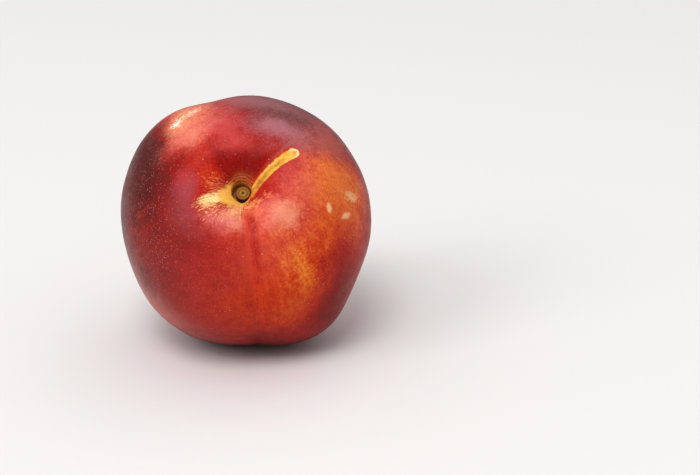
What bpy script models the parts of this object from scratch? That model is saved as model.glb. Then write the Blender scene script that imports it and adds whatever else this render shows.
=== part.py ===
"""A whole nectarine that lies on its side, on a small flat spot, with the stub of its stalk in the cavity.

The fruit is one solid, because skin, flesh and stone grow as one closed body and nothing of the inside shows.
The woody stub of the stalk stands in the pit at the bottom of the cavity, so it is a solid of its own.

Both are modelled in the fruit's own frame, in metres: +Z runs out of the stalk end, +X is the right cheek and
+Y is the crown. laid_down() tips that frame towards -Y, as the fruit lies, and place() lifts it onto z = 0.
"""

from math import asin, atan2, cos, exp, pi, radians, sin

import bmesh
import bpy
from mathutils import Matrix, Vector

# The fruit's overall form
HALF_WIDTH = 0.0348  # from the axis to a cheek
HALF_LENGTH = 0.0338  # from the middle to where the ends would close without cavity or tip
ROUNDNESS = 2.25  # 2 is an ellipse, and a larger power squares the shoulders

# The cavity that the stalk grew in
CAVITY_DEPTH = 0.0100
CAVITY_REACH = 0.0098  # the distance from the axis over which the funnel closes
CAVITY_SKEW = 0.0024  # how much further it reaches on its wide side, and less on the other
CAVITY_WIDE_AT = radians(140)
CAVITY_POWER = 1.5  # 2 is a bowl, and a smaller power makes a funnel

# The pit that the stub stands in, with an egg-shaped mouth that points to the suture
PIT_RADIUS = 0.00265
PIT_DEPTH = 0.0034
PIT_FLOOR_SHARE = 0.90  # the floor's radius as a share of the mouth's
PIT_FLOOR_TURN = 0.4  # where the lining turns from floor to wall, as a share of its rings
PIT_POINT = 0.10  # how far the mouth draws out towards the suture, as a share of its radius
PIT_POINT_POWER = 6  # a larger power makes the point narrower
MOUTH_STEPS = 8  # how often the mouth's place on the funnel is refined

# The suture, a fine groove in a broad valley that runs from the cavity to the tip
SUTURE_AT = radians(-84)  # its place round the axis, from the right cheek
SUTURE_DEPTH = 0.00042
SUTURE_HALF_WIDTH = 0.0013
SUTURE_ONSET = 0.0050  # how far ahead of the axis the groove has its full depth
VALLEY_DEPTH = 0.0007
VALLEY_HALF_WIDTH = 0.0075
VALLEY_ONSET = 0.0120

# The deeper notch where the valley runs into the cavity
NOTCH_DEPTH = 0.0022
NOTCH_HALF_WIDTH = 0.0035
NOTCH_ONSET = 0.0045
NOTCH_REACH = 0.0125  # how far from the axis the notch runs out
NOTCH_POWER = 3  # a larger power makes it run out over a shorter way

# The channel that a twig pressed into the shoulder as the fruit grew
TWIG_AT = radians(38)
TWIG_ASIDE = 0.0007  # how far beside that line the channel runs before it bends
TWIG_BEND_FROM = 0.0070
TWIG_BEND = 12.0  # per metre: how far it bends away, over the square of the distance
TWIG_DEPTH = 0.0012
TWIG_HALF_WIDTH = 0.0019
TWIG_ONSET = 0.0050
TWIG_REACH = 0.0190  # how far from the axis the channel runs out
TWIG_POWER = 8

# The blossom end, a shallow dish with the dry point that the flower left
DISH_DEPTH = 0.0012
DISH_REACH = 0.0075
TIP_HEIGHT = 0.0009
TIP_REACH = 0.0016

# Swellings and flats: round the axis and down from the stalk in degrees, height in metres, spread in degrees
SWELLINGS = {
    "upper left shoulder": (129, 78, 0.0019, 24),
    "crown": (81, 68, 0.0008, 17),
    "crown dip": (104, 66, -0.0007, 9),
    "left flat": (198, 92, -0.0016, 28),
    "lower left cheek": (240, 100, -0.0002, 20),
    "underside": (260, 112, -0.0009, 17),
    "lower right cheek": (306, 98, 0.0030, 19),
    "right cheek": (5, 88, 0.0017, 30),
    "right shoulder": (50, 80, 0.0016, 24),
    "left lip": (250, 26, 0.0009, 20),
    "right lip": (350, 30, 0.0010, 22),
}

# How the fruit lies
STALK_RISE = radians(39.5)  # the angle of the stalk's axis above the horizontal
STALK_TURN = radians(4)  # its turn towards the right cheek
SETTLE = 0.00052  # how deep the lowest point would lie below the surface without the flat spot
SETTLE_BLEND = 0.00012  # the height over which the flat spot runs into the round

# The stub of the stalk, a woody button with growth rings and the scar of its sap vessels
STUB_RADIUS = 0.00178
STUB_HEIGHT = 0.0029
STUB_DOME = 0.0007
STUB_CHAMFER = 0.0001  # how far the foot is drawn in
STUB_FOOT_HEIGHT = 0.0003
STUB_OFFSET = (0.00020, -0.00012)  # it stands nearer the suture and the right side of the pit
STUB_SEAT_GAP = 0.0003  # the gap that two touching solids keep
RING_HEIGHT = 0.00011
RING_COUNT = 2.5
RING_FADE = 4  # a larger power keeps the rings nearer to the rim
SCAR_DEPTH = 0.00035
SCAR_RADIUS = 0.00055

# How finely the surfaces are divided
LONGITUDES = 92
RINGS_OUTSIDE = 43
RINGS_IN_PIT = 5
LONGITUDE_CROWDING = 0.50  # crowds the longitudes towards the suture
RING_CROWDING = 1.22  # crowds the rings towards the cavity
STUB_RINGS = 16
STUB_SIDES = 32
MERGE_DISTANCE = 0.00001

SKIN_COLOUR = (0.42, 0.035, 0.018, 1.0)
SKIN_ROUGHNESS = 0.38
WOOD_COLOUR = (0.20, 0.09, 0.02, 1.0)
WOOD_ROUGHNESS = 0.7


def bell(distance, reach, power=2.0):
    """1 in the middle, falling smoothly to nothing a little past reach."""
    return exp(-((abs(distance) / reach) ** power))


def onset(ahead, full_at):
    """0 at and behind the axis, rising smoothly to 1 at full_at ahead of it."""
    share = min(max(ahead / full_at, 0.0), 1.0)
    return share * share * (3 - 2 * share)


def turn_between(a, b):
    """The angle from b to a round the axis, between -pi and pi."""
    return (a - b + pi) % (2 * pi) - pi


def across_and_ahead(off_axis, around, line_at):
    """How far a point lies beside a line that runs out from the axis, and how far along it."""
    turn = turn_between(around, line_at)
    return off_axis * sin(turn), off_axis * cos(turn)


def direction(around, down):
    """The unit vector at that angle round the axis and that angle down from the stalk."""
    return Vector((sin(down) * cos(around), sin(down) * sin(around), cos(down)))


def swelling_height(around, down):
    """What the swellings and flats add to the radius there."""
    here = direction(around, down)
    total = 0.0
    for at_around, at_down, height, spread in SWELLINGS.values():
        there = direction(radians(at_around), radians(at_down))
        total += height * bell(here.angle(there), radians(spread))
    return total


def suture_cut(off_axis, around):
    """How deep the groove and its valley lie there."""
    across, ahead = across_and_ahead(off_axis, around, SUTURE_AT)
    groove = SUTURE_DEPTH * bell(across, SUTURE_HALF_WIDTH) * onset(ahead, SUTURE_ONSET)
    valley = VALLEY_DEPTH * bell(across, VALLEY_HALF_WIDTH) * onset(ahead, VALLEY_ONSET)
    return groove + valley


def stalk_end_cut(off_axis, around):
    """How deep the cavity, its notch and the twig's channel lie there."""
    reach = CAVITY_REACH + CAVITY_SKEW * cos(turn_between(around, CAVITY_WIDE_AT))
    cavity = CAVITY_DEPTH * bell(off_axis, reach, CAVITY_POWER)
    across, ahead = across_and_ahead(off_axis, around, SUTURE_AT)
    notch = NOTCH_DEPTH * bell(across, NOTCH_HALF_WIDTH) * onset(ahead, NOTCH_ONSET)
    notch *= bell(off_axis, NOTCH_REACH, NOTCH_POWER)
    across, ahead = across_and_ahead(off_axis, around, TWIG_AT)
    middle = TWIG_ASIDE - TWIG_BEND * (ahead - TWIG_BEND_FROM) ** 2
    channel = TWIG_DEPTH * bell(across - middle, TWIG_HALF_WIDTH) * onset(ahead, TWIG_ONSET)
    channel *= bell(off_axis, TWIG_REACH, TWIG_POWER)
    return cavity + notch + channel


def fruit_radius(around, down):
    """The skin's distance from the fruit's middle, in the direction given."""
    across = sin(down) / HALF_WIDTH
    along = abs(cos(down)) / HALF_LENGTH
    body = (across**ROUNDNESS + along**ROUNDNESS) ** (-1 / ROUNDNESS)
    body += swelling_height(around, down)
    off_axis = body * sin(down)
    radius = body - suture_cut(off_axis, around)
    if down < pi / 2:
        return radius - stalk_end_cut(off_axis, around)
    return radius - DISH_DEPTH * bell(off_axis, DISH_REACH) + TIP_HEIGHT * bell(off_axis, TIP_REACH)


def pit_mouth_radius(around):
    """The egg shape of the pit's mouth."""
    towards_suture = max(cos(turn_between(around, SUTURE_AT)), 0.0)
    return PIT_RADIUS * (1 + PIT_POINT * towards_suture**PIT_POINT_POWER)


def mouth_point(around):
    """The point of the pit's mouth on the funnel's own surface."""
    distance = HALF_LENGTH - CAVITY_DEPTH
    for _ in range(MOUTH_STEPS):
        down = asin(pit_mouth_radius(around) / distance)
        distance = fruit_radius(around, down)
    return distance * direction(around, down)


def pit_floor_height():
    """The level of the pit's floor, which lies PIT_DEPTH below the mouth's crown side."""
    return mouth_point(SUTURE_AT + pi).z - PIT_DEPTH


def pit_point(around, share):
    """A point of the pit's lining: share 0 is the middle of the floor, and share 1 is the mouth."""
    mouth = mouth_point(around)
    if share <= PIT_FLOOR_TURN:
        rise = 0.0
        spread = PIT_FLOOR_SHARE * share / PIT_FLOOR_TURN
    else:
        rise = (share - PIT_FLOOR_TURN) / (1 - PIT_FLOOR_TURN)
        spread = PIT_FLOOR_SHARE + (1 - PIT_FLOOR_SHARE) * rise
    floor = pit_floor_height()
    return Vector((mouth.x * spread, mouth.y * spread, floor + (mouth.z - floor) * rise))


def skin_point(ring, turn):
    """The surface from the middle of the pit's floor, ring 0, over the mouth and down to the tip."""
    around = turn - LONGITUDE_CROWDING * sin(turn - SUTURE_AT)
    if ring <= RINGS_IN_PIT:
        return pit_point(around, ring / RINGS_IN_PIT)
    mouth_down = mouth_point(around).angle(Vector((0, 0, 1)))
    share = ((ring - RINGS_IN_PIT) / RINGS_OUTSIDE) ** RING_CROWDING
    down = mouth_down + (pi - mouth_down) * share
    return fruit_radius(around, down) * direction(around, down)


def material(name, colour, roughness):
    made = bpy.data.materials.new(name)
    made.use_nodes = True
    shader = made.node_tree.nodes["Principled BSDF"]
    shader.inputs["Base Color"].default_value = colour
    shader.inputs["Roughness"].default_value = roughness
    shader.inputs["Metallic"].default_value = 0.0
    return made


def mesh_object(name, bm, finish, collection):
    """A new object of the mesh in bm, smooth, with its faces turned outwards."""
    bmesh.ops.recalc_face_normals(bm, faces=bm.faces)
    mesh = bpy.data.meshes.new(name)
    bm.to_mesh(mesh)
    bm.free()
    mesh.shade_smooth()
    mesh.materials.append(finish)
    made = bpy.data.objects.new(name, mesh)
    collection.objects.link(made)
    return made


def make_fruit(collection):
    """The fruit, from a sphere whose every point is moved onto the skin."""
    rings = RINGS_IN_PIT + RINGS_OUTSIDE
    bm = bmesh.new()
    bmesh.ops.create_uvsphere(bm, u_segments=LONGITUDES, v_segments=rings, radius=1.0)
    for vertex in bm.verts:
        ring = round(vertex.co.angle(Vector((0, 0, 1))) / pi * rings)
        vertex.co = skin_point(ring, atan2(vertex.co.y, vertex.co.x))
    return mesh_object("fruit", bm, material("skin", SKIN_COLOUR, SKIN_ROUGHNESS), collection)


def stub_top(off_axis):
    """The height of the stub's top above its base: a dome with growth rings and the scar in its middle."""
    share = off_axis / STUB_RADIUS
    dome = STUB_DOME * (1 - share**2)
    ring = RING_HEIGHT * cos(2 * pi * RING_COUNT * share) * share * (1 - share**RING_FADE)
    return STUB_HEIGHT - STUB_DOME + dome + ring - SCAR_DEPTH * bell(off_axis, SCAR_RADIUS)


def stub_outline():
    """The stub's profile, from the middle of its base round to the middle of its top."""
    outline = [
        Vector((0, 0, 0)),
        Vector((STUB_RADIUS - STUB_CHAMFER, 0, 0)),
        Vector((STUB_RADIUS, 0, STUB_FOOT_HEIGHT)),
    ]
    for step in range(STUB_RINGS + 1):
        off_axis = STUB_RADIUS * (1 - step / STUB_RINGS)
        outline.append(Vector((off_axis, 0, stub_top(off_axis))))
    return outline


def make_stub(collection):
    """The stub, its profile turned about the stalk's axis."""
    bm = bmesh.new()
    corners = [bm.verts.new(point) for point in stub_outline()]
    for lower, upper in zip(corners, corners[1:]):
        bm.edges.new((lower, upper))
    profile = bpy.data.meshes.new("stub_profile")
    bm.to_mesh(profile)
    bm.free()
    turned = bpy.data.objects.new("stub_profile", profile)
    collection.objects.link(turned)
    screw = turned.modifiers.new("turn", "SCREW")
    screw.axis = "Z"
    screw.steps = STUB_SIDES
    screw.render_steps = STUB_SIDES
    screw.use_merge_vertices = True
    screw.merge_threshold = MERGE_DISTANCE
    bpy.context.view_layer.update()
    evaluated = turned.evaluated_get(bpy.context.evaluated_depsgraph_get())
    bm = bmesh.new()
    bm.from_mesh(evaluated.to_mesh())
    bpy.data.objects.remove(turned)
    bmesh.ops.remove_doubles(bm, verts=bm.verts, dist=MERGE_DISTANCE)
    return mesh_object("stalk_stub", bm, material("stalk_wood", WOOD_COLOUR, WOOD_ROUGHNESS), collection)


def laid_down():
    """The turn that tips the stalk's axis from straight up to where it points as the fruit lies."""
    return Matrix.Rotation(STALK_TURN, 4, "Z") @ Matrix.Rotation(pi / 2 - STALK_RISE, 4, "X")


def settled(height):
    """Height above the surface, with what would lie below it pressed up into a flat spot."""
    if height >= SETTLE_BLEND:
        return height
    if height <= -SETTLE_BLEND:
        return 0.0
    return (height + SETTLE_BLEND) ** 2 / (4 * SETTLE_BLEND)


def place(fruit, stub):
    """Lays both down with the fruit's middle over x = y = 0, and presses the flat spot on z = 0."""
    turn = laid_down()
    corners = [turn @ vertex.co for vertex in fruit.data.vertices]
    middle_x = (min(c.x for c in corners) + max(c.x for c in corners)) / 2
    middle_y = (min(c.y for c in corners) + max(c.y for c in corners)) / 2
    lift = -min(c.z for c in corners) - SETTLE
    placed = Matrix.Translation((-middle_x, -middle_y, lift)) @ turn
    back = placed.inverted()
    for vertex in fruit.data.vertices:
        corner = placed @ vertex.co
        corner.z = settled(corner.z)
        vertex.co = back @ corner
    fruit.matrix_world = placed
    seat = pit_floor_height() + STUB_SEAT_GAP
    stub.matrix_world = placed @ Matrix.Translation((*STUB_OFFSET, seat))


def main():
    for leftover in list(bpy.data.objects):
        bpy.data.objects.remove(leftover)
    nectarine = bpy.data.collections.new("nectarine")
    bpy.context.scene.collection.children.link(nectarine)
    fruit = make_fruit(nectarine)
    stub = make_stub(nectarine)
    place(fruit, stub)


main()
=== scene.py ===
"""A ripe nectarine, dressed: its painted and waxed skin, the dry stub of its stalk, and a soft studio."""

from math import cos, exp, pi, radians, sin

import bpy
from mathutils import Matrix, Vector, noise


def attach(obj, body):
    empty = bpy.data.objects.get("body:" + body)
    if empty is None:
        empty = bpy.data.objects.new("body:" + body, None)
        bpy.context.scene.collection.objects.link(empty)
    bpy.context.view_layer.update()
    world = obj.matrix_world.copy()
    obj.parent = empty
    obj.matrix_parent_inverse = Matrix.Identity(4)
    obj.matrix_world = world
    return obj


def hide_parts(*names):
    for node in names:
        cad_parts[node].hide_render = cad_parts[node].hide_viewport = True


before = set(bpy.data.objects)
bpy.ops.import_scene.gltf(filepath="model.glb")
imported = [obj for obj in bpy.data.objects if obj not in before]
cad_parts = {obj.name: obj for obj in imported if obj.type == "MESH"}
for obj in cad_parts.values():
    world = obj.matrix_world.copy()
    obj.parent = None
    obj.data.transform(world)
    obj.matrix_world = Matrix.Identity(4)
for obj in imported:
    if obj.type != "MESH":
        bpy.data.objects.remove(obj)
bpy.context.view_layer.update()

# --- The skin -------------------------------------------------------------------------------------------
# The peel of a nectarine is a hairless, waxed skin grown in one piece round the flesh. It is smooth and
# satin, red where the sun reached it and yellow where leaves and twigs shaded it, with fine pale pores and
# a greyish bloom of wax. Nothing fixes it: the fruit swelled inside it.

STALK_RISE = 39.5  # degrees that the stalk's axis points above the surface, and that it is turned by
STALK_TURN = 4
FRUIT_MIDDLE = (-0.001195, 0.000012, 0.034389)
WAVE_SIZES = {0.0110: 0.00014, 0.0045: 0.00005}  # length of the slow waves in the skin: their height
TWIG_TURN = 34  # degrees round the axis to the scar where a twig lay against the young fruit
TWIG_START = 0.0018
TWIG_END = 0.0175
TWIG_ASIDE = -0.0003  # how far beside the line from the stalk its highest part is
TWIG_TOP = 0.0145  # where its bow is highest, and how sharply it bends
TWIG_BEND = 12.0
TWIG_HALF_WIDTH = 0.00104  # at its start, and how much wider each metre along makes it
TWIG_WIDENING = 0.032
TWIG_SINK = 0.00022
TWIG_RIM_RISE = 0.00010
TWIG_RIM_HALF_WIDTH = 0.00035
SUTURE_TURN = -84
SUTURE_ASIDE = 0.0010
SUTURE_START = 0.0036
SUTURE_SINK = 0.00020
SUTURE_HALF_WIDTH = 0.0014
SUTURE_LAST_DOWN = 112  # degrees down from the stalk, where the crease fades out
TIP_RISE = 0.0005  # the dry point at the blossom end, and the dip round it
TIP_HALF_WIDTH = 0.0011
TIP_DIP = 0.0003
TIP_DIP_HALF_WIDTH = 0.0035
PIT_HALF_WIDTH = 0.0030
RELIEF_STARTS = 0.0004  # heights over the floor between which the relief grows, so that the fruit sits flat
RELIEF_FULL = 0.0040


def in_fruit(around, down):
    """The unit vector at those degrees: round the stalk's axis from the right cheek, and down from it."""
    return Vector((
        sin(radians(down)) * cos(radians(around)),
        sin(radians(down)) * sin(radians(around)),
        cos(radians(down)),
    ))


def smooth(value, start, end):
    """0 before the start and 1 after the end, with a smooth step between them."""
    share = min(max((value - start) / (end - start), 0.0), 1.0)
    return share * share * (3 - 2 * share)


def twig_place(spot):
    """How far that spot is along the twig's scar, and how far beside its middle line."""
    turned = Matrix.Rotation(radians(-TWIG_TURN), 3, "Z") @ spot
    from_top = turned.x - TWIG_TOP
    return turned.x, turned.y - (TWIG_ASIDE - TWIG_BEND * from_top * from_top)


to_fruit = (Matrix.Translation(FRUIT_MIDDLE)
            @ Matrix.Rotation(radians(STALK_TURN), 4, "Z")
            @ Matrix.Rotation(radians(90 - STALK_RISE), 4, "X"))
from_fruit = to_fruit.inverted()

bpy.ops.object.select_all(action="DESELECT")
skin = bpy.data.objects.new("skin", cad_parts["fruit"].data.copy())
bpy.context.scene.collection.objects.link(skin)
skin.select_set(True)
bpy.context.view_layer.objects.active = skin
bpy.ops.object.mode_set(mode="EDIT")
bpy.ops.mesh.select_all(action="SELECT")
bpy.ops.mesh.remove_doubles(threshold=0.00001)
bpy.ops.mesh.tris_convert_to_quads(face_threshold=pi / 3, shape_threshold=pi / 2)
bpy.ops.object.mode_set(mode="OBJECT")
skin.modifiers.new("round", "SUBSURF")
skin.modifiers["round"].levels = 2
skin.modifiers["round"].render_levels = 2
bpy.ops.object.modifier_apply(modifier="round")

outward = [vertex.normal.copy() for vertex in skin.data.vertices]
for vertex, normal in zip(skin.data.vertices, outward):
    spot = from_fruit @ vertex.co
    off_axis = Vector((spot.x, spot.y)).length
    if off_axis < PIT_HALF_WIDTH and spot.z > 0:
        continue
    rise = 0.0
    for length, height in WAVE_SIZES.items():
        rise += height * noise.noise(vertex.co / length)
    along, beside = twig_place(spot)
    if spot.z > 0 and along > 0:
        half_width = TWIG_HALF_WIDTH + TWIG_WIDENING * along
        inside = smooth(abs(beside), half_width * 1.25, half_width * 0.75)
        ends = smooth(along, TWIG_START, TWIG_START + 0.0015)
        ends *= smooth(along, TWIG_END + 0.0004, TWIG_END - 0.0006)
        rim = exp(-((abs(beside) - half_width * 1.35) / TWIG_RIM_HALF_WIDTH) ** 2)
        rise += (TWIG_RIM_RISE * rim - TWIG_SINK * inside) * ends
    creased = Matrix.Rotation(radians(-SUTURE_TURN), 3, "Z") @ spot
    if creased.x > 0:
        fade = smooth(off_axis if spot.z > 0 else 1.0, SUTURE_START, SUTURE_START + 0.002)
        last, full = cos(radians(SUTURE_LAST_DOWN)), cos(radians(SUTURE_LAST_DOWN - 30))
        fade *= smooth(creased.normalized().z, last, full)
        rise -= SUTURE_SINK * fade * exp(-((creased.y - SUTURE_ASIDE) / SUTURE_HALF_WIDTH) ** 2)
    if spot.z < 0:
        rise += TIP_RISE * exp(-(off_axis / TIP_HALF_WIDTH) ** 2)
        rise -= TIP_DIP * exp(-(off_axis / TIP_DIP_HALF_WIDTH) ** 2)
    vertex.co += normal * rise * smooth(vertex.co.z, RELIEF_STARTS, RELIEF_FULL)
bpy.ops.object.shade_smooth()

# A waxed fruit peel, grown and never worked. The wax gives it a broad satin shine, and the red lies over
# yellow like a wash of colour that is thin at its ragged edges and brown where it is thickest.


def linear(hex_colour):
    """An sRGB colour such as "#a1b2c3" as linear red, green, blue and alpha."""
    channels = [int(hex_colour[place:place + 2], 16) / 255 for place in (1, 3, 5)]
    return [c / 12.92 if c <= 0.04045 else ((c + 0.055) / 1.055) ** 2.4 for c in channels] + [1.0]


def add(tree, kind, settings, inputs):
    """A new node with its settings, its inputs set to a value or linked to another node's output."""
    node = tree.nodes.new("ShaderNode" + kind)
    for name, value in settings.items():
        setattr(node, name, value)
    for name, value in inputs.items():
        socket = node.inputs[name] if isinstance(name, int) else next(
            s for s in node.inputs if s.name == name and s.enabled)
        if isinstance(value, bpy.types.Node):
            value = next(s for s in value.outputs if s.enabled)
        if isinstance(value, bpy.types.NodeSocket):
            tree.links.new(value, socket)
        else:
            socket.default_value = value
    return node


def lying_at(around, down, turn):
    """The turn of a patch of skin on the unit ball: x across it, y away from the stalk, z outwards."""
    out = in_fruit(around, down)
    along = in_fruit(around, down + 90)
    upright = Matrix((along.cross(out), along, out)).transposed()
    return (upright @ Matrix.Rotation(radians(turn), 3, "Z")).to_euler("XYZ")


peel = bpy.data.materials.new("waxed_peel")
peel.use_nodes = True
tree = peel.node_tree
tree.nodes.clear()

# Places on the skin, in the fruit's own frame: metres, and the direction from its middle.
place = add(tree, "TexCoord", {}, {})
spot = add(tree, "Mapping", {"vector_type": "POINT"}, {
    "Vector": place.outputs["Object"],
    "Location": from_fruit.to_translation(),
    "Rotation": from_fruit.to_euler("XYZ"),
})
way = add(tree, "VectorMath", {"operation": "NORMALIZE"}, {0: spot})

# Patterns of the skin. The streaks run from the stalk to the blossom end, as the skin stretched that way.
STREAK_WIDTH = 34.0  # streaks on a quarter turn
STREAK_LENGTH = 0.16
flat_spot = add(tree, "VectorMath", {"operation": "MULTIPLY"}, {0: spot, 1: (1, 1, 0)})
round_way = add(tree, "VectorMath", {"operation": "NORMALIZE"}, {0: flat_spot})
way_parts = add(tree, "SeparateXYZ", {}, {0: way})
down_angle = add(tree, "Math", {"operation": "ARCCOSINE"}, {0: way_parts.outputs["Z"]})
slow_down = add(tree, "Math", {"operation": "MULTIPLY"}, {0: down_angle, 1: STREAK_LENGTH})
down_vector = add(tree, "CombineXYZ", {}, {"Z": slow_down})
streak_way = add(tree, "VectorMath", {"operation": "ADD"}, {0: round_way, 1: down_vector})

mottle = add(tree, "TexNoise", {}, {"Vector": spot, "Scale": 1 / 0.0030, "Detail": 4.0, "Roughness": 0.6})
grain = add(tree, "TexNoise", {}, {"Vector": spot, "Scale": 1 / 0.0007, "Detail": 3.0, "Roughness": 0.6})
streaks = add(tree, "TexNoise", {}, {
    "Vector": streak_way, "Scale": STREAK_WIDTH, "Detail": 4.0, "Roughness": 0.65})
all_noise = add(tree, "CombineXYZ", {}, {0: mottle.outputs["Fac"], 1: streaks.outputs["Fac"],
                                         2: grain.outputs["Fac"]})
tear = add(tree, "VectorMath", {"operation": "SUBTRACT"}, {0: all_noise, 1: (0.5, 0.5, 0.5)})
SWAY = 0.32
sway_noise = add(tree, "TexNoise", {}, {"Vector": spot, "Scale": 1 / 0.0110, "Detail": 4.0, "Roughness": 0.6})
sway = add(tree, "VectorMath", {"operation": "MULTIPLY_ADD"}, {
    0: sway_noise.outputs["Color"], 1: (SWAY, SWAY, SWAY), 2: (-SWAY / 2, -SWAY / 2, -SWAY / 2)})
loose_way = add(tree, "VectorMath", {"operation": "ADD"}, {0: way, 1: sway})


def patch_mask(where, around, down, half_width, half_length, turn, softness, tears, strength):
    """How strongly a patch shows: its strength in its middle, and 0 past its soft and torn edge."""
    patch = add(tree, "Mapping", {"vector_type": "TEXTURE"}, {
        "Vector": where, "Location": in_fruit(around, down), "Rotation": lying_at(around, down, turn),
        "Scale": (sin(radians(half_width)), sin(radians(half_length)), 1.0)})
    reach = add(tree, "VectorMath", {"operation": "LENGTH"}, {0: patch})
    torn = add(tree, "VectorMath", {"operation": "DOT_PRODUCT"}, {0: tear, 1: tears})
    edge = add(tree, "Math", {"operation": "ADD"}, {0: reach, 1: torn})
    return add(tree, "MapRange", {"interpolation_type": "SMOOTHSTEP"}, {
        "Value": edge, "From Min": 1 + softness, "From Max": 1 - softness, "To Max": strength})


# How thick the red blush is, from 0, bare yellow, to 1, maroon. Each patch draws it towards its own
# thickness; a few patches thicken it only as painted shade, where the fruit is shaded. One shader has room
# for hardly more patches than these: with more, the peel comes out black.
# name: around, down, half width, half length (degrees), turn, softness, tears (mottle, streak, grain),
# thickness, strength
BLUSH_ELSEWHERE = 0.62
BLUSH_AND_SHADE = {
    "shaded back": (72, 128, 44, 26, 0, 0.50, (0.8, 1.6, 0.3), 0.34, 0.9),
    "shaded back heart": (84, 136, 22, 14, 0, 0.60, (0.9, 1.8, 0.3), 0.22, 0.8),
    "blossom end": (0, 180, 20, 20, 0, 0.60, (0.4, 1.5, 0.2), 0.70, 0.8),
    "right flank": (-8, 92, 26, 26, 0, 0.60, (0.5, 1.2, 0.2), 0.66, 0.8),
    "right streaks": (24, 104, 26, 17, 0, 0.90, (1.2, 3.0, 0.6), 0.50, 0.6),
    "left streaks": (-140, 100, 26, 16, 0, 0.90, (1.2, 3.0, 0.6), 0.62, 0.6),
    "orange patch": (124, 49, 9, 15, -34, 1.00, (0.7, 0.2, 1.2), 0.38, 0.95),
    "left cheek": (-178, 70, 46, 41, 0, 0.30, (0.40, 0.45, 0.25), 0.94, 1.0),
    "cheek back": (-178, 104, 38, 28, 0, 0.80, (0.8, 2.2, 0.4), 0.90, 0.9),
    "crown": (56, 66, 36, 36, 0, 0.40, (0.4, 0.7, 0.3), 0.86, 1.0),
    "crown side": (33, 54, 9, 15, 0, 0.90, (0.6, 0.4, 0.8), 0.62, 0.8),
    "orange foot": (136, 39, 9, 4.5, 0, 1.00, (0.5, 0.2, 0.6), 0.54, 0.60),
    "lower left dusk": (-146, 54, 26, 20, 0, 0.70, (0.4, 0.2, 0.2), 0.77, 0.9),
    "left trough": (-150, 33, 24, 7, 0, 0.80, (0.4, 0.2, 0.2), 0.79, 0.85),
    # painted shade: the underside drawn darker red, where little light reaches the bottom
    "underside shade": (-88, 112, 60, 34, 0, 0.45, (0.3, 0.3, 0.1), 0.80, 0.9),
    "lower glow": (-90, 56, 20, 24, 0, 0.90, (0.4, 0.3, 0.2), 0.545, 0.8),
    "right glow": (-62, 52, 15, 28, 0, 0.80, (0.4, 0.2, 0.3), 0.50, 0.9),
    "between": (-26, 40, 15, 13, 0, 0.80, (0.4, 0.2, 0.3), 0.49, 0.9),
    "shoulder": (-5, 46, 21, 21, 0, 0.50, (0.4, 0.1, 0.5), 0.455, 1.0),
    "shoulder top": (6, 47, 9, 16, 0, 0.80, (0.8, 0.1, 1.2), 0.40, 0.8),
    "band": (-54, 43, 7.0, 17, 0, 0.90, (0.6, 0.2, 0.7), 0.42, 0.9),
    "band foot": (-62, 66, 7, 12, -25, 0.90, (0.6, 0.2, 0.7), 0.45, 0.8),
    "band yellow": (-53, 48, 3.8, 10, 0, 0.90, (2.0, 0.2, 2.4), 0.34, 0.7),
    # partly the skin's own deep red, partly painted shade darkening this flank
    "deep flank and shade": (-33, 66, 6.5, 17, -34, 0.80, (0.3, 0.2, 0.2), 0.65, 0.9),
    # painted shade: darker red low on the right flank, a shadow drawn into the colour
    "deep foot shade": (-45, 82, 16, 15, 0, 0.70, (0.3, 0.3, 0.2), 0.80, 0.85),
    "right lip": (-36, 24, 9, 7, 0, 0.90, (0.5, 0.2, 0.7), 0.50, 0.7),
    # painted shade: the upper wall of the stalk's cavity drawn darker red, as the hollow is shaded
    "cavity wall shade": (92, 13, 15, 9, 0, 0.50, (0.3, 0.6, 0.2), 0.76, 1.0),
    "cavity left": (162, 21, 7, 7, 0, 0.80, (0.5, 0.6, 0.5), 0.54, 0.7),
}
blush = BLUSH_ELSEWHERE
masks = {}
for name, (*shape, thickness, strength) in BLUSH_AND_SHADE.items():
    masks[name] = patch_mask(loose_way, *shape, strength)
    blush = add(tree, "Mix", {"data_type": "FLOAT"}, {"Factor": masks[name], "A": blush, "B": thickness})

# The wash is uneven, most where it is thin.
uneven = add(tree, "VectorMath", {"operation": "DOT_PRODUCT"}, {0: tear, 1: (0.42, 0.30, 0.44)})
thin = add(tree, "MapRange", {}, {
    "Value": blush, "From Min": 0.26, "From Max": 0.52, "To Min": 1.0, "To Max": 0.42})
uneven_here = add(tree, "Math", {"operation": "MULTIPLY"}, {0: uneven, 1: thin})
thickness = add(tree, "Math", {"operation": "ADD"}, {0: blush, 1: uneven_here})
WASH = {
    0.00: "#f8e2a6", 0.12: "#f0bc56", 0.25: "#e8983a", 0.38: "#de7026", 0.50: "#cb4617",
    0.62: "#ae2112", 0.75: "#900e0a", 0.87: "#5f1e1c", 1.00: "#4e1d1e",
}
wash = add(tree, "ValToRGB", {}, {"Fac": thickness})
steps = wash.color_ramp.elements
while len(steps) < len(WASH):
    steps.new(0.5)
for step, at in zip(steps, WASH):
    step.position = at
for step, hex_colour in zip(steps, WASH.values()):
    step.color = linear(hex_colour)
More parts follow.
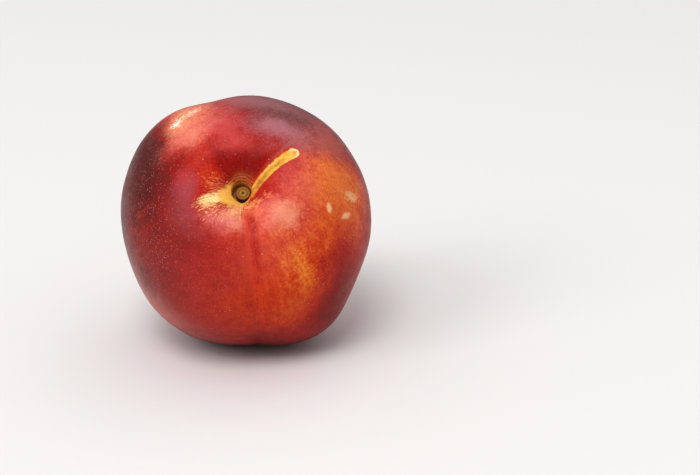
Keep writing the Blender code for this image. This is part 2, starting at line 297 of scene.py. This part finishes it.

# Tints over the wash: grey wax bloom, painted highlights and painted sheen on the crests, lips, crown and
# rims, thin pale skin on the lips of the cavity, and the marks round the stalk.
# name: around, down, half width, half length, turn, softness, tears, colour, strength
BLOOM_AND_SHINE = {
    # partly wax bloom, partly painted sheen: the left limb drawn grey-pink where the white room reflects at
    # grazing angles
    "cheek rim sheen": (180, 90, 36, 24, 0, 1.00, (0.9, 1.6, 0.5), "#96605c", 0.36),
    # painted highlight: a pink rim highlight on the lower left limb
    "left rim highlight": (-138, 92, 22, 15, 0, 0.90, (0.3, 0.6, 0.3), "#d47e78", 0.58),
    # painted highlight: a lilac band where the left crest of the cavity faces the front softbox
    "crest highlight": (-170, 27, 11, 4.0, 0, 0.90, (0.5, 0.3, 0.2), "#aa4c5a", 0.52),
    # partly the wax bloom's grey-lilac, partly painted sheen: the crown and its upper rim drawn paler where
    # they reflect the bright room above
    "crown bloom and sheen": (58, 35, 11, 6.5, 0, 1.00, (0.9, 0.4, 1.2), "#c08a92", 0.66),
    "crown rim bloom and sheen": (82, 54, 26, 7, 0, 1.00, (0.5, 0.3, 0.5), "#bc8488", 0.50),
    "crown side dust": (35, 52, 9, 13, 0, 1.00, (0.8, 0.4, 0.8), "#cc7468", 0.55),
    "crown dust": (58, 62, 34, 28, 0, 0.50, (0.4, 0.2, 0.3), "#8c5258", 0.28),
    # painted highlight: a soft pink shine on the upper side of the crown
    "upper pink highlight": (104, 35, 8, 10, 0, 1.00, (0.6, 0.3, 0.5), "#cc5e60", 0.60),
    # painted sheen: pale veils of reflection drawn over the red, partly wax bloom
    "lower sheen": (-128, 54, 26, 24, 0, 0.80, (0.3, 0.2, 0.3), "#984e4c", 0.30),
    "middle sheen": (-68, 30, 15, 12, 0, 1.00, (0.3, 0.1, 0.3), "#c86a64", 0.30),
    "shoulder sheen": (4, 26, 15, 8, 0, 1.00, (0.4, 0.2, 0.4), "#c8686a", 0.42),
    # painted highlights: the lips of the cavity drawn paler and pinker where they catch the front softbox,
    # over thin pale skin
    "left lip": (-110, 18, 6.5, 4.0, 0, 1.00, (1.4, 1.2, 1.2), "#eca08a", 0.68),
    "far left lip highlight": (-126, 22, 6, 4.0, 0, 1.00, (0.9, 0.6, 0.7), "#d07070", 0.50),
    "right lip": (-41, 23, 5.5, 4.5, 0, 1.00, (1.0, 0.4, 1.2), "#eeb492", 0.55),
    "right lip side highlight": (-50, 17, 7, 5, 0, 1.00, (0.8, 0.5, 0.5), "#cc5c60", 0.45),
    "salmon patch": (123, 50, 8.0, 12, -34, 1.00, (1.0, 0.2, 1.6), "#e0a284", 0.70),
    "salmon side": (128, 38, 13, 5.5, 0, 1.00, (0.6, 0.2, 0.8), "#da8478", 0.55),
    # painted highlight: a pale salmon shine over the orange shoulder
    "shoulder highlight": (3, 46, 14, 14, 0, 1.00, (0.8, 0.2, 1.2), "#ea9a62", 0.28),
}
MARKS = {
    "blossom ring": (0, 180, 3.6, 3.6, 0, 0.70, (2.2, 4.0, 1.2), "#c48e54", 0.70),
    "blossom tip": (0, 180, 1.7, 1.7, 0, 0.40, (0.8, 1.6, 0.6), "#3c1e12", 0.95),
    "burst": (-157, 14.5, 3.2, 5.6, 0, 0.70, (2.2, 3.2, 2.0), "#f9e2a4", 0.90),
    "burst near": (-152, 9, 5.0, 4.5, 0, 0.40, (0.9, 1.2, 0.6), "#eec462", 0.95),
    "halo": (84, 4.0, 6.4, 6.0, 0, 0.60, (0.9, 0.8, 0.5), "#a4602a", 0.60),
    "rim": (-136, 4.6, 7.6, 7.6, 0, 0.24, (0.5, 0.4, 0.4), "#eaba58", 0.95),
    "right rim": (-20, 4.2, 3.4, 3.6, 0, 0.30, (0.6, 0.6, 0.4), "#d89a3e", 0.85),
    "vee": (-93, 11.6, 0.7, 3.8, 0, 0.90, (1.4, 1.0, 1.2), "#f2bc84", 0.75),
    "vee side": (-70, 15.0, 4.5, 3.6, 0, 1.00, (1.4, 0.6, 1.6), "#ea8462", 0.60),
    "vee flecks": (-60, 11.0, 5.5, 1.6, 0, 0.90, (3.0, 2.4, 4.2), "#eeaa74", 0.60),
    "vee left": (-104, 12.5, 3.0, 3.0, 0, 1.00, (2.0, 2.0, 2.4), "#f2c088", 0.70),
    "tan spot": (-14, 41, 1.8, 1.3, 20, 0.60, (1.6, 0.0, 1.8), "#f0bc90", 0.90),
    "tan spot far": (-1, 54, 1.8, 3.4, 0, 0.90, (2.0, 0.0, 2.6), "#ecc090", 0.80),
    "tan spot low": (-13, 52, 1.0, 2.6, 35, 0.70, (1.6, 0.0, 1.6), "#eebc90", 0.85),
    "scratch": (129, 50, 1.6, 2.6, -50, 0.90, (3.4, 0.6, 6.0), "#faecdc", 0.85),
    "scratch side": (118, 51, 1.6, 3.0, -70, 0.90, (3.6, 0.6, 6.0), "#f8dcc0", 0.65),
}
colour = wash.outputs["Color"]
tints = [(loose_way, tint) for tint in BLOOM_AND_SHINE.values()] + [(way, tint) for tint in MARKS.values()]
for where, (*shape, hex_colour, strength) in tints:
    mask = patch_mask(where, *shape, strength)
    colour = add(tree, "Mix", {"data_type": "RGBA"}, {"Factor": mask, "A": colour, "B": linear(hex_colour)})

# Short pale dashes fan out from the stalk beside the bare patch, where the young skin cracked and healed.
RAY_WIDTH = 38.0
RAY_LENGTH = 0.9
ray_down = add(tree, "Math", {"operation": "MULTIPLY"}, {0: down_angle, 1: RAY_LENGTH})
ray_vector = add(tree, "CombineXYZ", {}, {"Z": ray_down})
ray_way = add(tree, "VectorMath", {"operation": "ADD"}, {0: round_way, 1: ray_vector})
rays = add(tree, "TexNoise", {}, {"Vector": ray_way, "Scale": RAY_WIDTH, "Detail": 2.0, "Roughness": 0.5})
# around, down, half width, half length (degrees), colour, strength
for around, down, half_width, half_length, hex_colour, strength in (
    (174, 14, 6.0, 6.0, "#ec9e68", 0.55),
    (-128, 17, 7.0, 4.5, "#eeb084", 0.45),
    (-150, 20, 4.5, 4.0, "#f0c07c", 0.60),
):
    patch = add(tree, "Mapping", {"vector_type": "TEXTURE"}, {
        "Vector": way, "Location": in_fruit(around, down), "Rotation": lying_at(around, down, 0),
        "Scale": (sin(radians(half_width)), sin(radians(half_length)), 1.0)})
    reach = add(tree, "VectorMath", {"operation": "LENGTH"}, {0: patch})
    fewer = add(tree, "Math", {"operation": "MULTIPLY_ADD"}, {0: reach, 1: -0.14, 2: rays.outputs["Fac"]})
    mask = add(tree, "MapRange", {"interpolation_type": "SMOOTHSTEP"}, {
        "Value": fewer, "From Min": 0.40, "From Max": 0.54, "To Max": strength})
    colour = add(tree, "Mix", {"data_type": "RGBA"}, {"Factor": mask, "A": colour, "B": linear(hex_colour)})

# The suture's crease: a painted highlight on its left lip, painted shade on its floor, and three faint lines
# a hair wide.
creased = add(tree, "Mapping", {"vector_type": "POINT"}, {
    "Vector": spot, "Rotation": (0.0, 0.0, radians(-SUTURE_TURN))})
crease_parts = add(tree, "SeparateXYZ", {}, {0: creased})
crease_shift = add(tree, "VectorMath", {"operation": "DOT_PRODUCT"}, {0: tear, 1: (0.0006, 0.0, 0.0003)})
crease_side = add(tree, "Math", {"operation": "ADD"}, {0: crease_parts.outputs["Y"], 1: crease_shift})
crease_length = add(tree, "MapRange", {"interpolation_type": "SMOOTHSTEP"}, {
    "Value": crease_parts.outputs["X"], "From Min": 0.006, "From Max": 0.010})
# how far its middle is beside the crease and its half width (metres), colour, strength, and the degrees
# down where it ends
for middle, half_width, hex_colour, strength, last_down in (
    # painted highlight on the lip left of the crease
    (-0.0004, 0.0013, "#dc4c38", 0.50, 60),
    # painted shade on the floor of the crease
    (0.0013, 0.0019, "#a01810", 0.70, 56),
    (0.0009, 0.00022, "#d84c30", 0.28, 88),
    (-0.0002, 0.00020, "#d84c30", 0.20, 84),
    (0.0018, 0.00018, "#d84c30", 0.25, 78),
):
    aside = add(tree, "Math", {"operation": "SUBTRACT"}, {0: crease_side, 1: middle})
    away = add(tree, "Math", {"operation": "ABSOLUTE"}, {0: aside})
    line = add(tree, "MapRange", {"interpolation_type": "SMOOTHSTEP"}, {
        "Value": away, "From Min": half_width, "From Max": half_width * 0.2, "To Max": strength})
    fade = add(tree, "MapRange", {"interpolation_type": "SMOOTHSTEP"}, {
        "Value": down_angle, "From Min": radians(last_down), "From Max": radians(last_down - 22)})
    broken = add(tree, "MapRange", {"interpolation_type": "SMOOTHSTEP"}, {
        "Value": mottle.outputs["Fac"], "From Min": 0.36, "From Max": 0.56, "To Min": 0.55, "To Max": 1.0})
    fade = add(tree, "Math", {"operation": "MULTIPLY"}, {0: fade, 1: broken})
    faded = add(tree, "Math", {"operation": "MULTIPLY"}, {0: line, 1: fade})
    mask = add(tree, "Math", {"operation": "MULTIPLY"}, {0: faded, 1: crease_length})
    colour = add(tree, "Mix", {"data_type": "RGBA"}, {"Factor": mask, "A": colour, "B": linear(hex_colour)})

# The scar of a twig: bare golden skin in the shape of the twig, with a raised corky edge, and painted shade
# along its lower side.
turned = add(tree, "Mapping", {"vector_type": "POINT"}, {
    "Vector": spot, "Rotation": (0.0, 0.0, radians(-TWIG_TURN))})
twig_parts = add(tree, "SeparateXYZ", {}, {0: turned})
along_twig = twig_parts.outputs["X"]
from_top = add(tree, "Math", {"operation": "SUBTRACT"}, {0: along_twig, 1: TWIG_TOP})
top_square = add(tree, "Math", {"operation": "MULTIPLY"}, {0: from_top, 1: from_top})
bent = add(tree, "Math", {"operation": "MULTIPLY_ADD"}, {
    0: top_square, 1: TWIG_BEND, 2: twig_parts.outputs["Y"]})
beside_twig = add(tree, "Math", {"operation": "SUBTRACT"}, {0: bent, 1: TWIG_ASIDE})
twig_shift = add(tree, "VectorMath", {"operation": "DOT_PRODUCT"}, {0: tear, 1: (0.0007, 0.0, 0.0008)})
beside_torn = add(tree, "Math", {"operation": "ADD"}, {0: beside_twig, 1: twig_shift})
past_end = add(tree, "Math", {"operation": "SUBTRACT"}, {0: along_twig, 1: TWIG_END - 0.0009})
round_end = add(tree, "Math", {"operation": "MAXIMUM"}, {0: past_end, 1: 0.0})
beside_end = add(tree, "CombineXYZ", {}, {"X": round_end, "Y": beside_torn})
beside_away = add(tree, "VectorMath", {"operation": "LENGTH"}, {0: beside_end})
twig_width = add(tree, "Math", {"operation": "MULTIPLY_ADD"}, {
    0: along_twig, 1: TWIG_WIDENING, 2: TWIG_HALF_WIDTH})
beside_share = add(tree, "Math", {"operation": "DIVIDE"}, {0: beside_away, 1: twig_width})
twig_torn = add(tree, "Math", {"operation": "ADD"}, {0: along_twig, 1: twig_shift})
twig_begin = add(tree, "MapRange", {"interpolation_type": "SMOOTHSTEP"}, {
    "Value": twig_torn, "From Min": TWIG_START, "From Max": TWIG_START + 0.0012})
# Only on the stalk's side, because the same places lie round the axis at the blossom end too.
front = add(tree, "MapRange", {}, {"Value": way_parts.outputs["Z"], "From Min": 0.6, "From Max": 0.65})
twig_here = add(tree, "Math", {"operation": "MULTIPLY"}, {0: twig_begin, 1: front})
# Painted shade: a dark red band along the scar's lower side, where the lip beside it shades the skin.
below_twig = add(tree, "MapRange", {"interpolation_type": "SMOOTHSTEP"}, {
    "Value": beside_twig, "From Min": -0.0034, "From Max": -0.0012, "To Max": 0.65})
below_only = add(tree, "MapRange", {"interpolation_type": "SMOOTHSTEP"}, {
    "Value": beside_twig, "From Min": 0.0, "From Max": -0.0006})
below_end = add(tree, "MapRange", {"interpolation_type": "SMOOTHSTEP"}, {
    "Value": along_twig, "From Min": TWIG_END - 0.001, "From Max": TWIG_END - 0.009})
shade_below_twig = below_twig
for limit in (below_only, below_end, twig_here):
    shade_below_twig = add(tree, "Math", {"operation": "MULTIPLY"}, {0: shade_below_twig, 1: limit})
colour = add(tree, "Mix", {"data_type": "RGBA"}, {"Factor": shade_below_twig, "A": colour, "B": linear("#a81c10")})
middle_brown = add(tree, "MapRange", {"interpolation_type": "SMOOTHSTEP"}, {
    "Value": beside_share, "From Min": 0.9, "From Max": 0.1, "To Min": -0.11, "To Max": 0.04})
dryness = add(tree, "Math", {"operation": "SUBTRACT"}, {0: mottle.outputs["Fac"], 1: middle_brown})
dry_share = add(tree, "MapRange", {}, {"Value": dryness, "From Min": 0.30, "From Max": 0.62})
dry = add(tree, "Mix", {"data_type": "RGBA"}, {
    "Factor": dry_share, "A": linear("#a86c2a"), "B": linear("#e6b854")})
for outer, inner, strip_colour, strength in (
    (1.5, 1.0, linear("#cc4c22"), 0.70),
    (1.15, 0.85, dry, 0.95),
):
    strip = add(tree, "MapRange", {"interpolation_type": "SMOOTHSTEP"}, {
        "Value": beside_share, "From Min": outer, "From Max": inner, "To Max": strength})
    mask = add(tree, "Math", {"operation": "MULTIPLY"}, {0: strip, 1: twig_here})
    colour = add(tree, "Mix", {"data_type": "RGBA"}, {"Factor": mask, "A": colour, "B": strip_colour})
scar = mask
cork_edge = add(tree, "MapRange", {"interpolation_type": "SMOOTHSTEP"}, {
    "Value": beside_share, "From Min": 0.45, "From Max": 0.80, "To Max": 0.60})
near_end = add(tree, "MapRange", {"interpolation_type": "SMOOTHSTEP"}, {
    "Value": twig_torn, "From Min": TWIG_END - 0.0016, "From Max": TWIG_END - 0.0006})
cork_here = add(tree, "Math", {"operation": "MULTIPLY"}, {0: cork_edge, 1: near_end})
cork = add(tree, "Math", {"operation": "MULTIPLY"}, {0: cork_here, 1: scar})
colour = add(tree, "Mix", {"data_type": "RGBA"}, {"Factor": cork, "A": colour, "B": linear("#f4e2c4")})

# The pit round the stalk is lined with dry golden skin, painted lighter than it is as painted light against
# the pit's deep shade, and fine wrinkles ring its upper side.
off_axis = add(tree, "VectorMath", {"operation": "LENGTH"}, {0: flat_spot})
wrinkle_shift = add(tree, "VectorMath", {"operation": "DOT_PRODUCT"}, {0: tear, 1: (0.0016, 0.0, 0.0004)})
wrinkle_place = add(tree, "Math", {"operation": "ADD"}, {0: off_axis, 1: wrinkle_shift})
wrinkle_wave = add(tree, "Math", {"operation": "PINGPONG"}, {0: wrinkle_place, 1: 0.00035})
wrinkle_line = add(tree, "MapRange", {"interpolation_type": "SMOOTHSTEP"}, {
    "Value": wrinkle_wave, "From Min": 0.00020, "From Max": 0.00034, "To Max": 0.55})
wrinkled = add(tree, "MapRange", {"interpolation_type": "SMOOTHSTEP"}, {
    "Value": off_axis, "From Min": 0.0052, "From Max": 0.0036})
spot_parts = add(tree, "SeparateXYZ", {}, {0: spot})
upper_side = add(tree, "MapRange", {"interpolation_type": "SMOOTHSTEP"}, {
    "Value": spot_parts.outputs["Y"], "From Min": 0.0004, "From Max": 0.0022})
wrinkles = wrinkle_line
for limit in (wrinkled, upper_side, front):
    wrinkles = add(tree, "Math", {"operation": "MULTIPLY"}, {0: wrinkles, 1: limit})
colour = add(tree, "Mix", {"data_type": "RGBA"}, {"Factor": wrinkles, "A": colour, "B": linear("#d0985a")})
# Painted light: the lining is drawn much lighter than the dry skin's own brown, to lift the deep shade of the
# pit.
lining = add(tree, "MapRange", {"interpolation_type": "SMOOTHSTEP"}, {
    "Value": off_axis, "From Min": 0.0030, "From Max": 0.0026})
lightened_lining = add(tree, "Math", {"operation": "MULTIPLY"}, {0: lining, 1: front})
colour = add(tree, "Mix", {"data_type": "RGBA"}, {
    "Factor": lightened_lining, "A": colour, "B": linear("#d08c40")})

# Pores: pale dots of cork about 0.15 mm wide, close together on the cheeks and sparse below. They are
# drawn about twice as wide, because the real ones would be lost at this distance.
close_pores = add(tree, "TexVoronoi", {}, {"Vector": spot, "Scale": 1 / 0.00052})
pore_luck = add(tree, "SeparateColor", {}, {0: close_pores.outputs["Color"]})
pore_size = add(tree, "MapRange", {}, {
    "Value": pore_luck.outputs["Red"], "To Min": 0.10, "To Max": 0.50})
pore_depth = add(tree, "Math", {"operation": "SUBTRACT"}, {0: pore_size, 1: close_pores.outputs["Distance"]})
close_dots = add(tree, "MapRange", {"interpolation_type": "SMOOTHSTEP"}, {
    "Value": pore_depth, "From Min": 0.0, "From Max": 0.36})
cheeks = add(tree, "Math", {"operation": "MAXIMUM"}, {0: masks["left cheek"], 1: masks["crown"]})
dusk_share = add(tree, "Math", {"operation": "MULTIPLY"}, {0: masks["lower left dusk"], 1: 0.5})
more_cheeks = add(tree, "Math", {"operation": "MAXIMUM"}, {0: cheeks, 1: dusk_share})
pore_share = add(tree, "MapRange", {}, {
    "Value": more_cheeks, "To Min": 0.16, "To Max": 0.54})
close_mask = add(tree, "Math", {"operation": "MULTIPLY"}, {0: close_dots, 1: pore_share})
colour = add(tree, "Mix", {"data_type": "RGBA"}, {"Factor": close_mask, "A": colour, "B": linear("#c09088")})

far_pores = add(tree, "TexVoronoi", {}, {"Vector": spot, "Scale": 1 / 0.00125})
far_luck = add(tree, "SeparateColor", {}, {0: far_pores.outputs["Color"]})
far_size = add(tree, "MapRange", {}, {
    "Value": far_luck.outputs["Red"], "From Min": 0.2, "From Max": 1.0, "To Min": 0.03, "To Max": 0.175})
far_depth = add(tree, "Math", {"operation": "SUBTRACT"}, {0: far_size, 1: far_pores.outputs["Distance"]})
far_dots = add(tree, "MapRange", {"interpolation_type": "SMOOTHSTEP"}, {
    "Value": far_depth, "From Min": 0.0, "From Max": 0.10, "To Max": 0.66})
fewer_far = add(tree, "MapRange", {}, {
    "Value": more_cheeks, "From Min": 0.0, "From Max": 0.4, "To Min": 1.0, "To Max": 0.18})
far_mask = add(tree, "Math", {"operation": "MULTIPLY"}, {0: far_dots, 1: fewer_far})
colour = add(tree, "Mix", {"data_type": "RGBA"}, {"Factor": far_mask, "A": colour, "B": linear("#e8ba92")})

# The shine: satin wax, a little duller here and there and dry on the scars, over a skin with fine pits.
gloss = add(tree, "MapRange", {}, {
    "Value": mottle.outputs["Fac"], "From Min": 0.3, "From Max": 0.7, "To Min": 0.33, "To Max": 0.43})
gloss_all = add(tree, "Mix", {"data_type": "FLOAT"}, {"Factor": scar, "A": gloss, "B": 0.62})
pits = add(tree, "TexNoise", {}, {"Vector": spot, "Scale": 1 / 0.0005, "Detail": 2.0, "Roughness": 0.5})
height = add(tree, "Math", {"operation": "MULTIPLY_ADD"}, {0: close_dots, 1: 0.25, 2: pits.outputs["Fac"]})
height_all = add(tree, "Math", {"operation": "MULTIPLY_ADD"}, {
    0: mottle.outputs["Fac"], 1: 0.8, 2: height})
bump = add(tree, "Bump", {}, {"Strength": 0.35, "Distance": 0.00010, "Height": height_all})

shader = add(tree, "BsdfPrincipled", {}, {
    "Base Color": colour, "Roughness": gloss_all, "Normal": bump, "IOR": 1.45, "Specular IOR Level": 0.25,
    "Specular Tint": (1.0, 0.66, 0.62, 1.0)})
add(tree, "OutputMaterial", {}, {"Surface": shader.outputs["BSDF"]})

skin.data.materials.clear()
skin.data.materials.append(peel)
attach(skin, "root")
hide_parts("fruit")

# --- The stub of the stalk ------------------------------------------------------------------------------
# A short woody peg, left in the pit when the fruit was pulled from the twig. Its end is a clean break
# across bark, wood and pith, and it grew into the fruit's floor, so nothing fixes it.

STUB_FOOT = Vector((0.00034, -0.00026, 0.02236))
STUB_RADIUS = 0.00190
BARK_RIDGE = 0.00006  # height of the ridges in the bark, and of the roughness of the broken end
BREAK_RIDGE = 0.00005

bpy.ops.object.select_all(action="DESELECT")
bpy.ops.mesh.primitive_circle_add(
    vertices=56, radius=STUB_RADIUS * 0.99, fill_type="NGON", location=STUB_FOOT)
stub = bpy.context.object
stub.name = "stalk_end"
bpy.ops.object.transform_apply(location=True, rotation=True, scale=True)
bpy.ops.object.mode_set(mode="EDIT")
bpy.ops.mesh.select_all(action="SELECT")
# rise and spread of each ring up the bark
for rise, spread in ((0.0007, 1.01), (0.0007, 1.01), (0.0006, 1.02), (0.0004, 1.01), (0.0002, 0.98)):
    bpy.ops.mesh.extrude_region_move(TRANSFORM_OT_translate={"value": (0, 0, rise)})
    bpy.ops.transform.resize(value=(spread, spread, 1.0), center_override=STUB_FOOT)
# inset and rise of each ring across the broken end: bark, groove, wood, groove, pith
for inset, rise in ((0.00010, 0.00012), (0.00022, 0.00004), (0.00012, -0.00018), (0.00016, -0.00004),
                    (0.00014, 0.00016), (0.00022, 0.00004), (0.00014, -0.00010), (0.00012, -0.00008),
                    (0.00012, 0.00010)):
    bpy.ops.mesh.inset(thickness=inset, depth=rise, use_even_offset=False)
bpy.ops.object.mode_set(mode="OBJECT")
stub.modifiers.new("round", "SUBSURF")
stub.modifiers["round"].levels = 2
stub.modifiers["round"].render_levels = 2
bpy.ops.object.modifier_apply(modifier="round")
for vertex in stub.data.vertices:
    out = Vector((vertex.co.x - STUB_FOOT.x, vertex.co.y - STUB_FOOT.y, 0))
    if out.length < 0.00005:
        continue
    ridge = noise.noise(Vector((out.normalized().x * 6, out.normalized().y * 6, vertex.co.z * 500)))
    rough = noise.noise(vertex.co * 2600)
    vertex.co += out.normalized() * ridge * BARK_RIDGE + Vector((0, 0, BREAK_RIDGE * rough))
    vertex.co = to_fruit @ vertex.co
bpy.ops.object.mode_set(mode="EDIT")
bpy.ops.mesh.select_all(action="SELECT")
bpy.ops.mesh.normals_make_consistent(inside=False)
bpy.ops.object.mode_set(mode="OBJECT")
bpy.ops.object.shade_smooth()

# Dry stalk wood, snapped and weathered: dull, with brown bark round rings of olive wood and a pale pith.
wood = bpy.data.materials.new("dry_stalk_wood")
wood.use_nodes = True
tree = wood.node_tree
tree.nodes.clear()
place = add(tree, "TexCoord", {}, {})
spot = add(tree, "Mapping", {"vector_type": "POINT"}, {
    "Vector": place.outputs["Object"],
    "Location": from_fruit.to_translation(),
    "Rotation": from_fruit.to_euler("XYZ"),
})
from_heart = add(tree, "VectorMath", {"operation": "SUBTRACT"}, {0: spot, 1: STUB_FOOT})
across = add(tree, "VectorMath", {"operation": "MULTIPLY"}, {0: from_heart, 1: (1, 1, 0)})
ring = add(tree, "VectorMath", {"operation": "LENGTH"}, {0: across})
fibre = add(tree, "TexNoise", {}, {"Vector": spot, "Scale": 1 / 0.00035, "Detail": 4.0, "Roughness": 0.65})
ragged_ring = add(tree, "Math", {"operation": "MULTIPLY_ADD"}, {0: fibre.outputs["Fac"], 1: 0.0004, 2: ring})
across_share = add(tree, "MapRange", {}, {
    "Value": ragged_ring, "From Min": 0.0002, "From Max": STUB_RADIUS + 0.0002})
RINGS = {
    0.00: "#eee4d4", 0.10: "#cdb890", 0.17: "#7a5822", 0.27: "#ac8630", 0.44: "#b88c34", 0.54: "#9c6e28",
    0.62: "#7a4e1c", 0.70: "#b07a2c", 0.84: "#aa702e", 0.93: "#8a5824", 1.00: "#70441c",
}
rings = add(tree, "ValToRGB", {}, {"Fac": across_share})
steps = rings.color_ramp.elements
while len(steps) < len(RINGS):
    steps.new(0.5)
for step, at in zip(steps, RINGS):
    step.position = at
for step, hex_colour in zip(steps, RINGS.values()):
    step.color = linear(hex_colour)
dark = add(tree, "MapRange", {}, {
    "Value": fibre.outputs["Fac"], "From Min": 0.35, "From Max": 0.7, "To Min": 0.6, "To Max": 1.15})
grained = add(tree, "VectorMath", {"operation": "SCALE"}, {0: rings.outputs["Color"], "Scale": dark})
dull = add(tree, "MapRange", {}, {
    "Value": fibre.outputs["Fac"], "From Min": 0.3, "From Max": 0.7, "To Min": 0.62, "To Max": 0.85})
bump = add(tree, "Bump", {}, {"Strength": 0.5, "Distance": 0.00012, "Height": fibre.outputs["Fac"]})
shader = add(tree, "BsdfPrincipled", {}, {
    "Base Color": grained, "Roughness": dull, "Normal": bump, "IOR": 1.5, "Specular IOR Level": 0.3})
add(tree, "OutputMaterial", {}, {"Surface": shader.outputs["BSDF"]})
stub.data.materials.clear()
stub.data.materials.append(wood)
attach(stub, "root")
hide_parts("stalk_stub")

# --- The studio -----------------------------------------------------------------------------------------
# A white disc of matt board under a large softbox in front and above, a weaker one at the left and a faint
# third one behind, with a white sky all round that dims towards the horizon. None of it is part of the fruit.

bpy.ops.object.select_all(action="DESELECT")
bpy.ops.mesh.primitive_circle_add(vertices=96, radius=4.0, fill_type="NGON", location=(0, 0, 0))
floor = bpy.context.object
floor.name = "studio_floor"
# Matt board, coated white: it scatters light evenly and shows no shine.
paper = bpy.data.materials.new("matt_white_board")
paper.use_nodes = True
board = paper.node_tree.nodes["Principled BSDF"]
board.inputs["Base Color"].default_value = linear("#e1e0df")
board.inputs["Roughness"].default_value = 0.9
floor.data.materials.append(paper)

scene = bpy.context.scene
scene.view_settings.view_transform = "Standard"
scene.view_settings.gamma = 0.84
scene.view_settings.exposure = 0.06
world = bpy.data.worlds.new("studio")
scene.world = world
world.use_nodes = True
sky = world.node_tree
toward = add(sky, "TexCoord", {}, {})
parts = add(sky, "SeparateXYZ", {}, {0: toward.outputs["Generated"]})
glow = add(sky, "MapRange", {"interpolation_type": "SMOOTHSTEP"},
           {"Value": parts.outputs["Z"], "From Min": 0.0, "From Max": 0.7, "To Min": 0.25, "To Max": 0.75})
background = sky.nodes["Background"]
background.inputs["Color"].default_value = linear("#ffffff")
sky.links.new(glow.outputs[0], background.inputs["Strength"])

for name, stands_at, size, power in (
    ("front_softbox", (-0.39, -1.85, 2.70), 1.35, 46.0),
    ("left_softbox", (-2.07, -1.74, 1.89), 1.5, 32.0),
    ("back_softbox", (0.99, 1.74, 2.34), 1.8, 5.0),
):
    light = bpy.data.lights.new(name, "AREA")
    light.shape = "SQUARE"
    light.size = size
    light.energy = power
    lamp = bpy.data.objects.new(name, light)
    scene.collection.objects.link(lamp)
    lamp.location = stands_at
    lamp.rotation_euler = (Vector((0, 0, 0.035)) - Vector(stands_at)).to_track_quat("-Z", "Y").to_euler()

ELEVATION = radians(20)
DISTANCE = 0.4655
LENS = 85.0
AIM = Vector((0.02915, 0, 0.0355))
AIM_DROP = 0.0048
back = Vector((0, -cos(ELEVATION), sin(ELEVATION)))
up = Vector((0, sin(ELEVATION), cos(ELEVATION)))
middle = AIM - up * AIM_DROP
camera = bpy.data.objects.new("camera", bpy.data.cameras.new("camera"))
scene.collection.objects.link(camera)
camera.data.lens = LENS
camera.location = middle + back * DISTANCE
camera.rotation_euler = (-back).to_track_quat("-Z", "Y").to_euler()
scene.camera = camera
